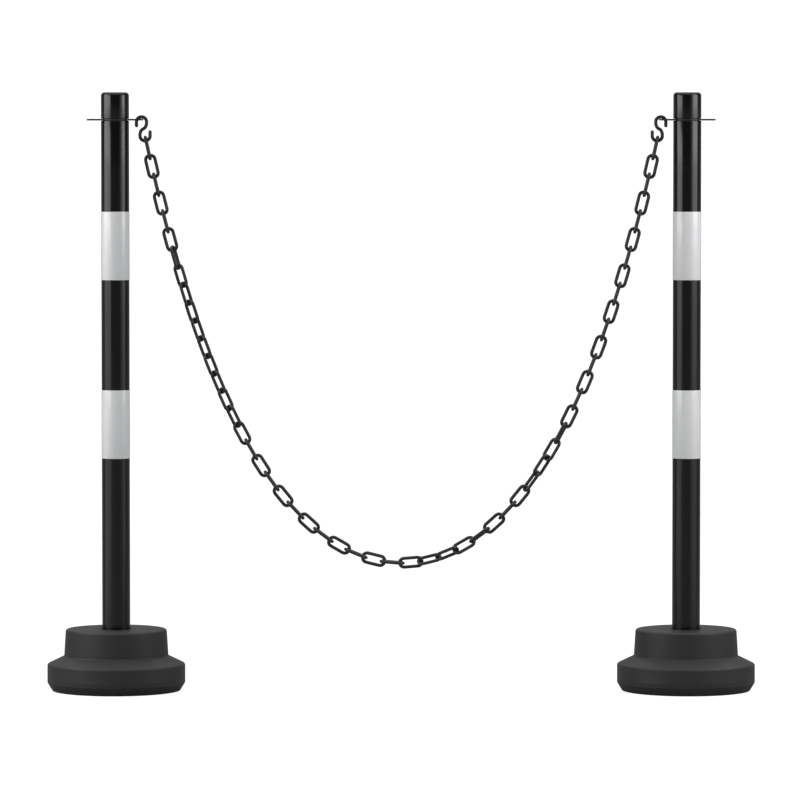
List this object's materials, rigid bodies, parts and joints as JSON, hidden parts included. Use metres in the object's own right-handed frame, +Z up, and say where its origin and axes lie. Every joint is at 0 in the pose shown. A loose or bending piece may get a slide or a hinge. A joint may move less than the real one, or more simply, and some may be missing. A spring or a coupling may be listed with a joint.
{
  "type": "plastic chain stanchion",
  "caption": "Black plastic posts on round weighted bases, with silver reflective bands, joined by a hanging plastic chain on S-hooks.",
  "frame": {"origin": "on the floor, midway between the two posts", "axes": "+X from the left post to the right post as seen from the front, +Y to the back, +Z up"},
  "size_m": [1.2396, 0.2416, 1.046],
  "materials": {
    "post_plastic": "smooth glossy black extruded and moulded plastic",
    "base_plastic": "matt charcoal moulded plastic with a fine grain",
    "plate_plastic": "satin black moulded plastic",
    "chain_plastic": "matt black moulded plastic",
    "reflective_film": "silver-white retroreflective film",
    "concrete": "cast grey concrete",
    "zinc_steel": "zinc plated steel"
  },
  "bodies": {
    "stanchions": {"left_base_shell": "base_plastic", "left_base_ballast": "concrete", "left_base_cover": "base_plastic", "left_post_tube": "post_plastic", "left_post_foot_plug": "post_plastic", "left_post_bolt": "zinc_steel", "left_post_bolt_washer": "zinc_steel", "left_lower_reflective_band": "reflective_film", "left_upper_reflective_band": "reflective_film", "left_chain_plate": "plate_plastic", "right_base_shell": "base_plastic", "right_base_ballast": "concrete", "right_base_cover": "base_plastic", "right_post_tube": "post_plastic", "right_post_foot_plug": "post_plastic", "right_post_bolt": "zinc_steel", "right_post_bolt_washer": "zinc_steel", "right_lower_reflective_band": "reflective_film", "right_upper_reflective_band": "reflective_film", "right_chain_plate": "plate_plastic"},
    "left_cap": {"left_top_cap": "post_plastic"},
    "right_cap": {"right_top_cap": "post_plastic"},
    "left_hook": {"left_s_hook": "chain_plastic"},
    "right_hook": {"right_s_hook": "chain_plastic"},
    "left_run": {"chain_length_01": "chain_plastic", "chain_length_02": "chain_plastic", "chain_length_03": "chain_plastic", "chain_length_04": "chain_plastic", "chain_length_05": "chain_plastic", "chain_length_06": "chain_plastic", "chain_length_07": "chain_plastic", "chain_length_08": "chain_plastic", "chain_length_09": "chain_plastic", "chain_length_10": "chain_plastic"},
    "bottom_run": {"chain_length_11": "chain_plastic", "chain_length_12": "chain_plastic", "chain_length_13": "chain_plastic", "chain_length_14": "chain_plastic", "chain_length_15": "chain_plastic", "chain_length_16": "chain_plastic", "chain_length_17": "chain_plastic", "chain_length_18": "chain_plastic"},
    "right_run": {"chain_length_19": "chain_plastic", "chain_length_20": "chain_plastic", "chain_length_21": "chain_plastic", "chain_length_22": "chain_plastic", "chain_length_23": "chain_plastic", "chain_length_24": "chain_plastic", "chain_length_25": "chain_plastic", "chain_length_26": "chain_plastic", "chain_length_27": "chain_plastic", "chain_length_28": "chain_plastic"}
  },
  "joints": [
    {"name": "chain_swing", "type": "hinge", "parent": "stanchions", "child": "left_hook", "pos_m": [-0.4527, 0, 1.00357], "axis": [1, 0, 0], "range_deg": [-40, 40]},
    {"name": "right_hook_swing", "type": "hinge", "parent": "stanchions", "child": "right_hook", "pos_m": [0.4527, 0, 1.00357], "axis": [1, 0, 0], "range_deg": [-40.5, 40.5]},
    {"name": "chain_sway", "type": "hinge", "parent": "left_hook", "child": "left_run", "pos_m": [-0.4463, 0, 0.96796], "axis": [0, 1, 0], "range_deg": [-4, 4]},
    {"name": "bottom_run_sway", "type": "hinge", "parent": "left_run", "child": "bottom_run", "pos_m": [-0.21508, 0, 0.35103], "axis": [0, 1, 0], "range_deg": [-8.5, 8.5]},
    {"name": "right_run_sway", "type": "hinge", "parent": "bottom_run", "child": "right_run", "pos_m": [0.21628, 0, 0.35103], "axis": [0, 1, 0], "range_deg": [-8.5, 8.5]},
    {"name": "left_cap_pull", "type": "slide", "parent": "stanchions", "child": "left_cap", "axis": [0, 0, 1], "range_m": [0, 0.05]},
    {"name": "right_cap_pull", "type": "slide", "parent": "stanchions", "child": "right_cap", "axis": [0, 0, 1], "range_m": [0, 0.05]}
  ],
  "couplings": [
    {"joint": "right_hook_swing", "follows": "chain_swing", "ratio": 1},
    {"joint": "bottom_run_sway", "follows": "chain_sway", "ratio": -2.0721},
    {"joint": "right_run_sway", "follows": "chain_sway", "ratio": 2.0721}
  ]
}
